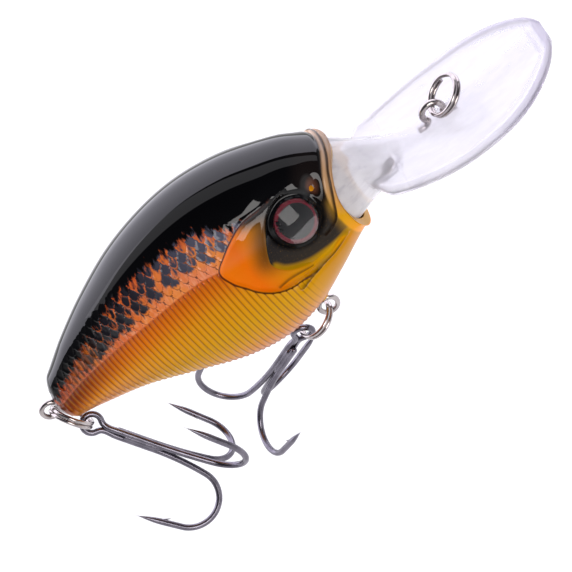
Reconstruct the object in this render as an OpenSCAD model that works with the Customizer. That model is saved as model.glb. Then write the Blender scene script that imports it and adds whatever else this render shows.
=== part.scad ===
// Deep-diving crankbait lure: a hollow two-half body with a clear diving lip,
// a line-tie ring in front and two treble hooks on split rings.
// Working frame: the tail end of the body is at x = 0, +X runs forward to the
// lip, +Y is the lure's left side and +Z is its back. place() then moves every
// piece so that the centre of the line-tie loop is the origin.

/* [Body] */
// Wall thickness of the moulded halves
wall = 1.5; // [1.3:0.1:1.7]
// Wall thickness at the mouth rim
rim_wall = 1.2; // [1:0.1:1.4]
// Diameter of the moulded alignment pins
pin_d = 2; // [1.6:0.1:2.4]

/* [Lip] */
// Thickness of the clear blade
lip_thick = 2; // [1.6:0.1:2.4]
// Height of the ridge along the blade's middle
ridge_high = 1.3; // [0.8:0.1:1.6]

/* [Wires and rings] */
// Wire diameter of the hanger loops
hanger_wire = 1; // [0.9:0.05:1.05]
// Radius of a hanger loop, to the middle of its wire
hanger_loop = 1.8; // [1.75:0.05:1.9]
// Wire diameter of the line-tie loop
tie_wire = 1.2; // [1.1:0.05:1.25]
// Radius of the line-tie loop, to the middle of its wire
tie_loop = 2; // [1.95:0.05:2.1]
// Wire diameter of a split ring
ring_wire = 0.75; // [0.65:0.05:0.8]
// Outer diameter of the line and belly split rings
ring_outer = 8.2; // [8:0.1:8.4]
// Outer diameter of the tail split ring
tail_ring_outer = 8.75; // [8.5:0.05:8.8]

/* [Treble hooks] */
// Wire diameter of the hooks
hook_wire = 1.2; // [1.1:0.05:1.2]
// Radius of the hook's eye, to the middle of its wire
hook_eye = 1.8; // [1.75:0.05:1.85]
// Straight length of the brazed shank
shank = 7.05; // [7:0.05:7.1]
// Radius of the tight part of the bend
bend_r = 5.5; // [5.2:0.1:5.6]
// Length of the straight point
point_len = 9.2; // [8.5:0.1:9.5]

/* [Eyes] */
// Diameter of a glued eye
eye_d = 7.9; // [7.4:0.1:8]

/* [Weights] */
// Diameter of the rolling transfer ball
ball_d = 6.4; // [6:0.1:6.4]
// Diameter of the rattle beads
bead_d = 3.2; // [2.8:0.1:3.2]
// Diameter of the fixed belly weight
ballast_d = 6.4; // [6:0.1:6.4]
// Length of the fixed belly weight
ballast_len = 9.5; // [9:0.1:9.5]

/* [Hidden] */
$fn = 64;

gold = [0.85, 0.6, 0.12];
clear = [0.9, 0.9, 0.96, 0.5];
nickel = [0.78, 0.76, 0.76];
black_nickel = [0.3, 0.28, 0.3];
crimson = [0.55, 0.05, 0.14];
steel = [0.62, 0.64, 0.66];

// ---- Where things are, in the working frame ----
tie_at = [88, 0, 4.6];
belly_loop_at = [51.2, 0, -19.35];
tail_loop_at = [-0.4, 0, -2.3];
eye_at = [58.9, 10.75, 10.7];
eye_out = [0.22, 0.89, 0.4];

// Each ring leaves its loop along "reach"; its wire crosses the loop along "pass".
line_reach = [0.886, 0, 0.464];
line_pass = [0, 1, 0];
belly_reach = [-0.954, 0, -0.3];
belly_pass = [0, 1, 0];
tail_reach = [0.51, -0.265, -0.818];
tail_pass = [-0.197, 0.89, -0.409];

// Each treble has a shank direction and a side direction; its three points sit
// at "turn", "turn" + 120 and "turn" + 240 degrees, and the first is the single
// hook. "eye_turn" is the direction of the hole through its eye.
belly_shank = [-0.703, 0.344, -0.622];
belly_side = [0.366, -0.573, -0.733];
belly_turn = 41;
belly_eye_turn = 52;
tail_shank = [0.517, -0.292, -0.805];
tail_side = [-0.805, -0.48, -0.348];
tail_turn = 124;
tail_eye_turn = 97;

// ---- Outline curves: [x, value] control points ----
nose_x = 70.5;
tail_x = 1.2;
tail_round = 2.4;
top_line = [[0, 1.8], [4, 4.7], [10, 9.3], [18, 14.3], [27, 18.7], [36, 21.4],
    [44, 22.3], [52, 21.5], [59, 19.4], [65, 16.8], [71, 12.6]];
belly_line = [[0, -7.2], [4, -6.5], [10, -7.2], [18, -8.5], [27, -11.6], [36, -15],
    [44, -15.9], [52, -13.9], [59, -10], [65, -6.4], [71, -3.6]];
half_width = [[0, 3.2], [4, 3.9], [10, 5.5], [18, 8.1], [27, 11], [36, 12.9],
    [44, 13.7], [52, 13.3], [59, 11.9], [65, 10], [71, 7.2]];
side_power = 0.92;

blade_start = 72;
blade_half = [[66, 2], [72, 6.4], [74.5, 10.3], [77, 11.5], [81, 12.8], [87, 13.95],
    [93, 14.1], [98, 13.6], [102, 12.4], [105.5, 10.4], [108.2, 8.2], [110.2, 5.9],
    [111.4, 3.6], [112, 1.9], [112.2, 0.8]];
root_half = [[56, 8.3], [62, 8.6], [65, 8.45], [70.5, 6.4], [72.5, 6.1], [76, 5.6],
    [82, 3.5], [90, 2.5]];
root_high = [[56, 9.4], [62, 10.2], [65, 10], [70.5, 7], [72.5, 5.4], [75, 3.4],
    [78, 1.6], [82, 0.2], [90, 0]];
root_middle = [[56, 5], [65, 5.4], [70.5, 4.4], [74, 3.2], [78, 2.6]];
ridge_from = 71;
ridge_to = 93.5;

// Cavity, ribs and shelves inside the body
cavity_x = 7.5;
ribs_at = [19, 45, 56];
rib_thick = 1;
ball_shelf = -5.4;
bead_shelf = 3.4;
pins_at = [[13, 4], [32, 14], [50.5, 14]];
nub_top = [51.2, -12.6];
socket_deep = 0.9;
lens_dome = 0.75;
slot_wide = 0.56;

ballast_at = [34.8, 0, -9.7];
ball_at = [23.6, 0, -1.1];
bead_at = [48, 2.6, 6.1];

// ---- Small functions ----
function unit(v) = v / norm(v);
function sgn_pow(v, p) = sign(v) * pow(abs(v), p);
function clamp01(v) = min(1, max(0, v));

// Slope of a control curve at point i, from its neighbours
function slope(tab, i) =
    let (a = tab[max(i - 1, 0)], b = tab[min(i + 1, len(tab) - 1)])
    (b[1] - a[1]) / (b[0] - a[0]);
// Index of the stretch of a control curve that holds x
function stretch(tab, x) =
    max([0, for (i = [0 : len(tab) - 2]) if (tab[i][0] <= x) i]);
// Smooth cubic curve through the control points of a table
function curve(tab, x_any) =
    let (x = min(max(x_any, tab[0][0]), tab[len(tab) - 1][0]),
         i = stretch(tab, x), a = tab[i], b = tab[i + 1],
         w = b[0] - a[0], u = (x - a[0]) / w)
    (2 * u * u * u - 3 * u * u + 1) * a[1] + (u * u * u - 2 * u * u + u) * w * slope(tab, i)
    + (3 * u * u - 2 * u * u * u) * b[1] + (u * u * u - u * u) * w * slope(tab, i + 1);

// ---- Body surface ----
// Front rim of the mouth: furthest forward at the top, furthest back at the sides
function rim_x(a) = 66.3 + 4.2 * pow(max(sin(a), 0), 2) + 1.6 * pow(max(-sin(a), 0), 2);
// Station x pulled back to the slanted rim near the front
function slanted(x, a) =
    let (f = clamp01((x - 50) / (nose_x - 50)))
    x - (nose_x - rim_x(a)) * f * f;
// Point of the outer skin at station x and angle a, moved inwards by "inset"
function skin(x, a, inset = 0) =
    let (f = clamp01((x - tail_x) / tail_round),
         cap = sqrt(max(0.004, 1 - (1 - f) * (1 - f))),
         hi = curve(top_line, x), lo = curve(belly_line, x))
    [x, (curve(half_width, x) * cap - inset) * sgn_pow(cos(a), side_power),
     (hi + lo) / 2 + ((hi - lo) / 2 * cap - inset) * sin(a)];

tail_stations = [for (i = [0 : 5]) tail_x + tail_round * (1 - cos(i * 18))];
long_stations = [for (i = [1 : 32]) tail_x + tail_round
    + (nose_x - tail_x - tail_round) * i / 32];
outer_x = concat(tail_stations, long_stations);
outer_angles = [for (j = [-9 : 9]) j * 10];
inner_steps = 20;

function inner_x(i, a) = cavity_x + (slanted(nose_x, a) - cavity_x) * i / inner_steps;
function inner_inset(i) = wall + (rim_wall - wall) * i / inner_steps;

outer_rows = len(outer_x);
inner_rows = inner_steps + 1;
row = len(outer_angles);
outer_points = [for (x = outer_x) for (a = outer_angles) skin(slanted(x, a), a)];
inner_points = [for (i = [0 : inner_steps]) for (a = outer_angles)
    skin(inner_x(i, a), a, inner_inset(i))];
inner_first = outer_rows * row;

// Two triangles for each cell of a grid of points, seen from the outside
function grid_faces(first, rows, cols, flip) = [for (i = [0 : rows - 2]) for (j = [0 : cols - 2])
    let (a = first + i * cols + j, b = a + 1, c = a + cols, d = c + 1)
    each flip ? [[a, b, d], [a, d, c]] : [[a, d, b], [a, c, d]]];

// Left half of the hollow body, on the +Y side of the parting plane
module half_hull() {
    last_out = (outer_rows - 1) * row;
    last_in = inner_first + (inner_rows - 1) * row;
    rim = [for (j = [0 : row - 2]) each [
        [last_out + j, last_in + j, last_in + j + 1],
        [last_out + j, last_in + j + 1, last_out + j + 1]]];
    tail_cap = [[for (j = [0 : row - 1]) j]];
    cavity_cap = [[for (j = [row - 1 : -1 : 0]) inner_first + j]];
    parting = [concat(
        [for (i = [outer_rows - 1 : -1 : 0]) i * row],
        [for (i = [0 : outer_rows - 1]) i * row + row - 1],
        [for (i = [inner_rows - 1 : -1 : 0]) inner_first + i * row + row - 1],
        [for (i = [0 : inner_rows - 1]) inner_first + i * row])];
    polyhedron(concat(outer_points, inner_points), concat(
        grid_faces(0, outer_rows, row, true),
        grid_faces(inner_first, inner_rows, row, false),
        rim, tail_cap, cavity_cap, parting), convexity = 6);
}

// Half of the body's cross-section at x, as a flat plate of the rib's thickness
module half_section(x, low, high) {
    outline = [for (a = outer_angles) let (p = skin(x, a, wall / 2)) [p[1], p[2]]];
    translate([x, 0, 0]) rotate([90, 0, 90]) linear_extrude(rib_thick)
        intersection() {
            polygon(outline);
            translate([0, low]) square([20, high - low]);
        }
}

// Level shelf between two ribs, out to the middle of the wall
module half_shelf(from_x, to_x, z) {
    wide = min(skin(from_x, 0, wall / 2)[1], skin(to_x, 0, wall / 2)[1]) - 1.6;
    translate([from_x, 0, z]) cube([to_x - from_x, wide, rib_thick]);
}

// Frame at a point on the left side whose +Z looks out along eye_out
module at_eye() {
    z = unit(eye_out);
    x = unit([1, 0, 0] - z[0] * z);
    y = cross(z, x);
    multmatrix([[x[0], y[0], z[0], eye_at[0]], [x[1], y[1], z[1], eye_at[1]],
        [x[2], y[2], z[2], eye_at[2]]]) children();
}

// One half of the body with its ribs, shelves, nub and eye socket
module half_body() {
    difference() {
        union() {
            half_hull();
            for (x = ribs_at) half_section(x, -30, 30);
            half_shelf(ribs_at[0], ribs_at[1] + rib_thick, ball_shelf);
            half_shelf(ribs_at[1], ribs_at[2] + rib_thick, bead_shelf);
            for (p = pins_at) pin_boss(p);
            half_nub();
            at_eye() translate([0, 0, -socket_deep - 1.6]) cylinder(d = eye_d + 1.6, h = 1.7);
        }
        at_eye() translate([0, 0, -socket_deep]) cylinder(d = eye_d + 0.3, h = 4);
        slots();
    }
}

// Depth of the skin at x, z from the parting plane, halfway into the wall
function skin_depth(x, z) =
    let (hi = curve(top_line, x), lo = curve(belly_line, x))
    skin(x, asin((z - (hi + lo) / 2) / ((hi - lo) / 2)), wall / 2)[1];

// Boss that stands from the side wall to the parting plane
module pin_boss(p) {
    boss_d = pin_d + 2;
    deep = min(skin_depth(p[0] - boss_d / 2, p[1] + boss_d / 2), skin_depth(p[0], p[1]));
    translate([p[0], 0, p[1]]) rotate([-90, 0, 0]) cylinder(d = boss_d, h = deep);
}

// Painted nub around the belly hanger, cut at the parting plane
module half_nub() {
    difference() {
        translate([nub_top[0], 0, nub_top[1] - 4.4]) cylinder(r1 = 1.5, r2 = 2.2, h = 4.4);
        translate([40, -10, -30]) cube([20, 10, 30]);
    }
}

// Slots at the parting plane that hold the two hangers
module slots() {
    reach = hanger_loop + hanger_wire / 2 + 0.1;
    translate([belly_loop_at[0] - reach, -1, belly_loop_at[2]])
        cube([2 * reach, 1 + slot_wide, anchor_step + reach]);
    translate([tail_loop_at[0], -1, tail_loop_at[2] - reach])
        cube([anchor_step + reach, 1 + slot_wide, 2 * reach]);
}

// A moulded half is one faceted skin, so it is made as one mesh at its own size
module moulded() resize([0, 0, 0]) children();
module place() translate(-tie_at) children();
module other_side() mirror([0, 1, 0]) children();

module body_shell_left() color(gold) place() moulded() difference() {
    half_body();
    for (p = pins_at) translate([p[0], -1, p[1]]) rotate([-90, 0, 0])
        cylinder(d = pin_d + 0.1, h = 3);
}
module body_shell_right() color(gold) place() moulded() union() {
    other_side() half_body();
    for (p = pins_at) translate([p[0], -1, p[1]]) rotate([-90, 0, 0])
        cylinder(d = pin_d, h = 2.6);
}

// ---- Clear lip ----
function blade_mid(x) = 2.5 + 0.05 * (x - 92) + 0.0045 * (x - 92) * (x - 92);
function lip_mid(x) = x < 78 ? curve(root_middle, x) : blade_mid(x);
function lip_half(x) = x < blade_start ? curve(root_half, x)
    : max(curve(root_half, x), curve(blade_half, x));
// Half thickness at y: the flat blade and the round root, blended
function lip_thickness(x, v) =
    let (y = v * lip_half(x),
         slab = x < 68 ? 0 : lip_thick / 2 * clamp01((x - 68) / 4) * sqrt(1 - pow(v, 8)),
         r = y / curve(root_half, x),
         root = curve(root_high, x) * sqrt(max(0, 1 - r * r)))
    sqrt(slab * slab + root * root);
// The ridge drops away before the line tie, so that the ring can lie down
function ridge(x, y) = ridge_high * exp(-pow(y / 2.1, 4))
    * clamp01((x - ridge_from) / 3) * clamp01((ridge_to - x) / 2.5)
    * (1 - 0.78 * clamp01((x - 79) / 5));

lip_x = concat([for (i = [0 : 7]) 57.1 + 1.85 * i], [for (i = [0 : 7]) 71 + i],
    [for (i = [0 : 12]) 80.5 + 2 * i], [106.3, 108, 109.4, 110.5, 111.3, 111.8, 112.1]);
lip_v = [for (j = [0 : 16]) sin(-90 + j * 180 / 16)];
lip_row = 2 * len(lip_v) - 2;
function lip_ring(x) = concat(
    [for (v = lip_v) let (y = v * lip_half(x))
        [x, y, lip_mid(x) + lip_thickness(x, v) + ridge(x, y)]],
    [for (j = [len(lip_v) - 2 : -1 : 1]) let (v = lip_v[j])
        [x, v * lip_half(x), lip_mid(x) - lip_thickness(x, v)]]);

module diving_lip() color(clear) place() {
    n = len(lip_x);
    polyhedron([for (x = lip_x) each lip_ring(x)], concat(
        [for (i = [0 : n - 2]) for (j = [0 : lip_row - 1])
            let (k = (j + 1) % lip_row, a = i * lip_row + j, b = i * lip_row + k,
                 c = a + lip_row, d = b + lip_row)
            each [[a, d, b], [a, c, d]]],
        [[for (j = [0 : lip_row - 1]) j]],
        [[for (j = [lip_row - 1 : -1 : 0]) (n - 1) * lip_row + j]]), convexity = 4);
}

// ---- Wires and split rings ----
anchor_step = 2 * hanger_loop + 0.6;

// Closed wire loop in the XZ plane
module loop(r, wire) rotate([90, 0, 0]) rotate_extrude() translate([r, 0]) circle(d = wire);

// Figure-of-eight hanger: one loop outside, one held between the body halves
module hanger(inwards) {
    loop(hanger_loop, hanger_wire);
    translate(inwards * anchor_step) loop(hanger_loop, hanger_wire);
    translate(inwards * (hanger_loop - 0.2)) orient(inwards)
        cylinder(d = hanger_wire * 1.05, h = 1);
}

// Turns +Z to a direction
module orient(dir) {
    z = unit(dir);
    x = unit(cross(abs(z[1]) < 0.9 ? [0, 1, 0] : [1, 0, 0], z));
    y = cross(z, x);
    multmatrix([[x[0], y[0], z[0]], [x[1], y[1], z[1]], [x[2], y[2], z[2]]]) children();
}

// The loop's foot lies along the lip's spine and is moulded in
tie_foot = 8;
module line_tie_wire() color(nickel) {
    loop(tie_loop, tie_wire);
    translate([-tie_foot / 2, 0, -tie_loop - 0.15]) rotate([0, 90, 0])
        cylinder(d = tie_wire * 0.85, h = tie_foot);
}
module belly_hanger_wire() color(nickel) place() translate(belly_loop_at) hanger([0, 0, 1]);
module tail_hanger_wire() color(nickel) place() translate(tail_loop_at) hanger([1, 0, 0]);

function ring_mid(outer) = (outer - ring_wire) / 2;

// Split ring as two touching coils. Its wire passes "at" along "pass".
module split_ring(at, reach, pass, outer) {
    r = ring_mid(outer);
    h = unit(reach);
    t = unit(pass - (pass * h) * h);
    n = cross(h, t);
    translate(at + r * h)
        multmatrix([[h[0], t[0], n[0]], [h[1], t[1], n[1]], [h[2], t[2], n[2]]])
        rotate_extrude() translate([r, 0]) {
            for (s = [-1, 1]) translate([0, s * ring_wire / 2]) circle(d = ring_wire);
            square([ring_wire * 0.8, ring_wire], center = true);
        }
}
module line_tie_split_ring() color(nickel) place()
    split_ring(tie_at, line_reach, line_pass, ring_outer);
module belly_split_ring() color(nickel) place()
    split_ring(belly_loop_at, belly_reach, belly_pass, ring_outer);
module tail_split_ring() color(nickel) place()
    split_ring(tail_loop_at, tail_reach, tail_pass, tail_ring_outer);

// ---- Treble hooks ----
// A hook's own frame: the eye's centre is the origin and +Z runs down the shank.
bundle = 0.6 * hook_wire;
taper_len = 5.4;
lead_r = 56.2;
lead_turn = 11.4;
point_turn = 175;

function polar(r, a, z) = [r * cos(a), r * sin(a), z];
function bezier(p, u) = pow(1 - u, 3) * p[0] + 3 * u * pow(1 - u, 2) * p[1]
    + 3 * u * u * (1 - u) * p[2] + u * u * u * p[3];

// Bend and point from the end of the shank on, at angle a: [x, y, z, wire radius]
function arm(a) =
    let (w = hook_wire / 2, z0 = taper_len + shank,
         c1 = [bundle + lead_r, z0],
         p1 = c1 + lead_r * [-cos(lead_turn), sin(lead_turn)],
         c2 = p1 + bend_r * [cos(lead_turn), -sin(lead_turn)],
         p2 = c2 + bend_r * [-cos(point_turn), sin(point_turn)],
         dir = [sin(point_turn), cos(point_turn)],
         flat = concat(
            [for (i = [0 : 3]) let (f = i * lead_turn / 4)
                concat(c1 + lead_r * [-cos(f), sin(f)], w)],
            [for (i = [0 : 12]) let (f = lead_turn + i * (point_turn - lead_turn) / 12)
                concat(c2 + bend_r * [-cos(f), sin(f)], w)],
            [for (u = [0.5, 0.75, 0.9, 1]) concat(p2 + u * point_len * dir,
                w * (u < 0.6 ? 1 : u < 0.8 ? 0.72 : u < 0.95 ? 0.4 : 0.12))]))
    [for (p = flat) concat(polar(p[0], a, p[1]), p[2])];

// From the eye's loop, at side angle b, down to its place in the bundle at angle a
eye_open = 140;
function taper(b, a) =
    let (s = [cos(b), sin(b), 0],
         p0 = hook_eye * (sin(eye_open) * s - [0, 0, cos(eye_open)]),
         d0 = cos(eye_open) * s + [0, 0, sin(eye_open)],
         p3 = polar(bundle, a, taper_len))
    [for (i = [1 : 7]) concat(bezier([p0, p0 + 1.5 * d0, p3 - [0, 0, 1.8], p3], i / 7),
        hook_wire / 2)];
function eye_arc(b) = [for (i = [-8 : 8]) let (f = i * eye_open / 8, s = [cos(b), sin(b), 0])
    concat(hook_eye * (sin(f) * s - [0, 0, cos(f)]), hook_wire / 2)];
function backwards(p) = [for (i = [len(p) - 1 : -1 : 0]) p[i]];

// One wire makes two points and the eye; side angle b of the eye goes to point a1
function double_path(b, a1, a2) = concat(backwards(concat(taper(b + 180, a2), arm(a2))),
    backwards(eye_arc(b + 180)), taper(b, a1), arm(a1));
function single_path(a) = concat(
    [concat(polar(bundle, a, taper_len + 0.4), hook_wire * 0.3),
     concat(polar(bundle, a, taper_len + 0.9), hook_wire / 2)], arm(a));

function xyz(p) = [p[0], p[1], p[2]];
function tangent(p, i) = unit(xyz(p[min(i + 1, len(p) - 1)]) - xyz(p[max(i - 1, 0)]));
// Directions square to the path, carried along it without twist
function carried(p, i, side) =
    let (t = tangent(p, i), s = unit(side - (side * t) * t))
    i == len(p) - 1 ? [s] : concat([s], carried(p, i + 1, s));

// Round wire along a path of [x, y, z, radius]
module wire(p, side, sides = 8) {
    frames = carried(p, 0, side);
    n = len(p);
    polyhedron([for (i = [0 : n - 1]) for (j = [0 : sides - 1])
            let (t = tangent(p, i), u = frames[i], v = cross(t, u), a = j * 360 / sides)
            xyz(p[i]) + p[i][3] * (cos(a) * u + sin(a) * v)],
        concat([for (i = [0 : n - 2]) for (j = [0 : sides - 1])
                let (k = (j + 1) % sides, a = i * sides + j, b = i * sides + k)
                each [[a, b + sides, b], [a, a + sides, b + sides]]],
            [[for (j = [0 : sides - 1]) j]],
            [[for (j = [sides - 1 : -1 : 0]) (n - 1) * sides + j]]), convexity = 8);
}

// Puts a hook's own frame at the far side of its split ring
module hang_hook(at, reach, outer, down, side) {
    z = unit(down);
    x = unit(side - (side * z) * z);
    y = cross(z, x);
    e = at + 2 * ring_mid(outer) * unit(reach);
    translate(e) multmatrix([[x[0], y[0], z[0]], [x[1], y[1], z[1]], [x[2], y[2], z[2]]])
        children();
}
module at_belly_hook() color(black_nickel) place()
    hang_hook(belly_loop_at, belly_reach, ring_outer, belly_shank, belly_side) children();
module at_tail_hook() color(black_nickel) place()
    hang_hook(tail_loop_at, tail_reach, tail_ring_outer, tail_shank, tail_side) children();

module double_hook(turn, eye_turn) {
    b = eye_turn + 90;
    wire(double_path(b, turn + 120, turn + 240), [cos(b + 90), sin(b + 90), 0]);
}
module single_hook(turn) wire(single_path(turn), polar(1, turn + 90, 0));
// Braze that fills the middle of the three shanks
module braze() translate([0, 0, taper_len + 0.6]) cylinder(d = 1, h = shank - 2);

module belly_double_hook() at_belly_hook() double_hook(belly_turn, belly_eye_turn);
module belly_single_hook() at_belly_hook() single_hook(belly_turn);
module belly_hook_braze() at_belly_hook() braze();
module tail_double_hook() at_tail_hook() double_hook(tail_turn, tail_eye_turn);
module tail_single_hook() at_tail_hook() single_hook(tail_turn);
module tail_hook_braze() at_tail_hook() braze();

// ---- Eyes ----
disc_thick = 0.2;
lens_edge = 0.35;
module eye_disc() at_eye() translate([0, 0, -socket_deep + 0.02])
    cylinder(d = eye_d, h = disc_thick);
// Clear dome: a cylinder up to the edge and a ball-shaped cap above it
module eye_lens() {
    base = -socket_deep + disc_thick + 0.04;
    rise = lens_dome - base - lens_edge;
    ball = (pow(eye_d / 2, 2) + rise * rise) / (2 * rise);
    at_eye() intersection() {
        translate([0, 0, base]) cylinder(d = eye_d, h = 4);
        translate([0, 0, lens_dome - ball]) sphere(r = ball);
    }
}
module right_eye_lens() color(clear) place() other_side() eye_lens();
module right_eye_disc() color(crimson) place() other_side() eye_disc();
module left_eye_lens() color(clear) place() eye_lens();
module left_eye_disc() color(crimson) place() eye_disc();

// ---- Weights ----
module belly_ballast_weight() color(steel) place() translate(ballast_at) rotate([0, 90, 0])
    rotate_extrude() polygon([[0, 0], [ballast_d / 2 - 1, 0], [ballast_d / 2, 1],
        [ballast_d / 2, ballast_len - 1], [ballast_d / 2 - 1, ballast_len], [0, ballast_len]]);
module transfer_ball() color(steel) place() translate(ball_at) sphere(d = ball_d);
module rattle_bead_left() color(steel) place() translate(bead_at) sphere(d = bead_d);
module rattle_bead_right() color(steel) place() other_side() translate(bead_at)
    sphere(d = bead_d);

body_shell_right();
body_shell_left();
diving_lip();
line_tie_wire();
line_tie_split_ring();
belly_hanger_wire();
belly_split_ring();
belly_double_hook();
belly_single_hook();
belly_hook_braze();
tail_hanger_wire();
tail_split_ring();
tail_double_hook();
tail_single_hook();
tail_hook_braze();
right_eye_lens();
right_eye_disc();
left_eye_lens();
left_eye_disc();
belly_ballast_weight();
transfer_ball();
rattle_bead_right();
rattle_bead_left();
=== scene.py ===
"""Looks of a deep-diving crankbait lure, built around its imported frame.

Shapes are worked out in millimetres in the lure's working frame: x runs forward from the
tail end, y to the lure's left and z to its back. The row frame has the same directions and
starts at the centre of the line-tie loop.
"""

import math

import bpy
import numpy as np
from mathutils import Matrix, Vector


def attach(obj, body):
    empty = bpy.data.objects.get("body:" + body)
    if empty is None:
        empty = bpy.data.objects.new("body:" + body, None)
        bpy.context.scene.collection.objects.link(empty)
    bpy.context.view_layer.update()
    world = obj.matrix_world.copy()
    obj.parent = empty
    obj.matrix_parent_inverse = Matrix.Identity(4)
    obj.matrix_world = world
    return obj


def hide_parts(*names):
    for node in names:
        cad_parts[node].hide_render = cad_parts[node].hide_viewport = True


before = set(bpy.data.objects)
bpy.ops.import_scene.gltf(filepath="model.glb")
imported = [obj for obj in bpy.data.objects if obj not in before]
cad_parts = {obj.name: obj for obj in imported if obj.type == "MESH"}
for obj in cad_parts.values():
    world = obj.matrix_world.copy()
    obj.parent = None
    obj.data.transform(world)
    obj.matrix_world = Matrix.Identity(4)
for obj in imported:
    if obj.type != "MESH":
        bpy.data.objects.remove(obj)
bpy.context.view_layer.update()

MM = 0.001
LINE_TIE = np.array([88.0, 0.0, 4.6])
RIGHT, LEFT = -1.0, 1.0


# ---- Numbers and curves ----
def srgb(red, green, blue):
    """Linear colour of an 8-bit display colour: c / 12.92 below 0.04045, else ((c + 0.055) / 1.055) ^ 2.4."""
    c = np.array([red, green, blue]) / 255.0
    linear = np.where(c < 0.04045, c / 12.92, ((c + 0.055) / 1.055) ** 2.4)
    return (*[float(v) for v in linear], 1.0)


def unit(v):
    """Each vector divided by its own length."""
    v = np.asarray(v, float)
    return v / np.linalg.norm(v, axis=-1, keepdims=True)


def smooth(low, high, value):
    """0 below low, 1 above high, and 3 t^2 - 2 t^3 in between."""
    t = np.clip((value - low) / (high - low), 0, 1)
    return t * t * (3 - 2 * t)


def bell(distance, width):
    """exp(-(distance / width)^2), 1 on the line and falling to nothing beside it."""
    return np.exp(-((distance / width) ** 2))


def curve(table, x):
    """Cubic Hermite curve through the table's points, with each slope taken from its two neighbours."""
    knots, values = np.array(table, float).T
    first = np.maximum(np.arange(len(knots)) - 1, 0)
    last = np.minimum(np.arange(len(knots)) + 1, len(knots) - 1)
    slopes = (values[last] - values[first]) / (knots[last] - knots[first])
    x = np.clip(x, knots[0], knots[-1])
    i = np.clip(np.searchsorted(knots, x, side="right") - 1, 0, len(knots) - 2)
    wide = knots[i + 1] - knots[i]
    u = (x - knots[i]) / wide
    return ((2 * u**3 - 3 * u**2 + 1) * values[i] + (u**3 - 2 * u**2 + u) * wide * slopes[i]
            + (3 * u**2 - 2 * u**3) * values[i + 1] + (u**3 - u**2) * wide * slopes[i + 1])


def rounded_line(points, steps=12):
    """Catmull-Rom curve through the points, with that many steps between two of them."""
    p = np.array(points, float)
    p = np.vstack([2 * p[0] - p[1], p, 2 * p[-1] - p[-2]])
    u = np.linspace(0, 1, steps, endpoint=False)[:, None, None]
    a, b, c, d = p[:-3], p[1:-2], p[2:-1], p[3:]
    line = 0.5 * (2 * b + (c - a) * u + (2 * a - 5 * b + 4 * c - d) * u**2
                  + (3 * b - a - 3 * c + d) * u**3)
    return np.vstack([line.transpose(1, 0, 2).reshape(-1, p.shape[1]), p[-2]])


def line_distance(x, z, line):
    """Shortest distance from each point (x, z) to the stretches of a line."""
    best = np.full(x.shape, 1e9)
    for (ax, az), (bx, bz) in zip(line[:-1], line[1:]):
        dx, dz = bx - ax, bz - az
        t = np.clip(((x - ax) * dx + (z - az) * dz) / (dx * dx + dz * dz), 0, 1)
        best = np.minimum(best, np.hypot(x - ax - t * dx, z - az - t * dz))
    return best


def inside_distance(x, z, loop):
    """Distance to a closed loop, positive inside it: the crossings of a ray along +x are odd there."""
    closed = np.vstack([loop, loop[:1]])
    odd = np.zeros(x.shape, bool)
    for (ax, az), (bx, bz) in zip(closed[:-1], closed[1:]):
        if az != bz:
            crosses = (az > z) != (bz > z)
            odd ^= crosses & (x < ax + (z - az) * (bx - ax) / (bz - az))
    return np.where(odd, 1, -1) * line_distance(x, z, closed)


# ---- Meshes ----
def strip_quads(rows, cols, first=0, wrap=False):
    """Cells of a grid whose points are numbered row by row; wrap joins the last column to the first."""
    i = np.arange(rows - 1)[:, None]
    j = np.arange(cols if wrap else cols - 1)[None, :]
    k = (j + 1) % cols
    cells = [i * cols + j, (i + 1) * cols + j, (i + 1) * cols + k, i * cols + k]
    return first + np.stack([np.broadcast_to(c, (rows - 1, j.size)) for c in cells], -1).reshape(-1, 4)


def fan(ring, centre, flip):
    """Triangles from a closed ring of point numbers to one centre point."""
    ring = np.asarray(ring)
    after = np.roll(ring, -1)
    middle = np.full(len(ring), centre)
    return np.stack([after, ring, middle] if flip else [ring, after, middle], -1)


def shown(name, data):
    """An object of this data, put into the scene."""
    made = bpy.data.objects.new(name, data)
    bpy.context.scene.collection.objects.link(made)
    return made


def piece(name, points, quads, triangles, body, stands_for, slot, material, fields=None, crease=60):
    """Mesh from whole arrays, in millimetres of the working frame, placed in the row frame."""
    mesh = bpy.data.meshes.new(name)
    points = (np.asarray(points, float) - LINE_TIE) * MM
    mesh.vertices.add(len(points))
    mesh.vertices.foreach_set("co", points.astype(np.float32).ravel())
    quads = np.asarray(quads, int).reshape(-1, 4)
    triangles = np.asarray(triangles, int).reshape(-1, 3)
    corners = np.concatenate([quads.ravel(), triangles.ravel()]).astype(np.int32)
    starts = np.concatenate([
        np.arange(len(quads)) * 4,
        quads.size + np.arange(len(triangles)) * 3,
    ]).astype(np.int32)
    mesh.loops.add(len(corners))
    mesh.loops.foreach_set("vertex_index", corners)
    mesh.polygons.add(len(starts))
    mesh.polygons.foreach_set("loop_start", starts)
    mesh.update(calc_edges=True)
    mesh.validate()
    mesh.polygons.foreach_set("use_smooth", np.ones(len(mesh.polygons), bool))
    mesh.set_sharp_from_angle(angle=math.radians(crease))
    for field, values in (fields or {}).items():
        layer = mesh.attributes.new(field, "FLOAT", "POINT")
        layer.data.foreach_set("value", np.asarray(values, np.float32).ravel())
    mesh.materials.append(material)
    made = shown(name, mesh)
    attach(made, body)
    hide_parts(*stands_for)
    return made


def closed_tube(rings, first, last, outward=True):
    """Closed rings joined into a tube, with a fan to one point at each end: points, quads and triangles."""
    n, m = rings.shape[:2]
    points = np.vstack([rings.reshape(-1, 3), first, last])
    quads = strip_quads(n, m, wrap=True)
    ring = np.arange(m)
    ends = np.vstack([fan(ring, n * m, outward), fan((n - 1) * m + ring, n * m + 1, not outward)])
    return points, quads[:, ::-1] if outward else quads, ends


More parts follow.
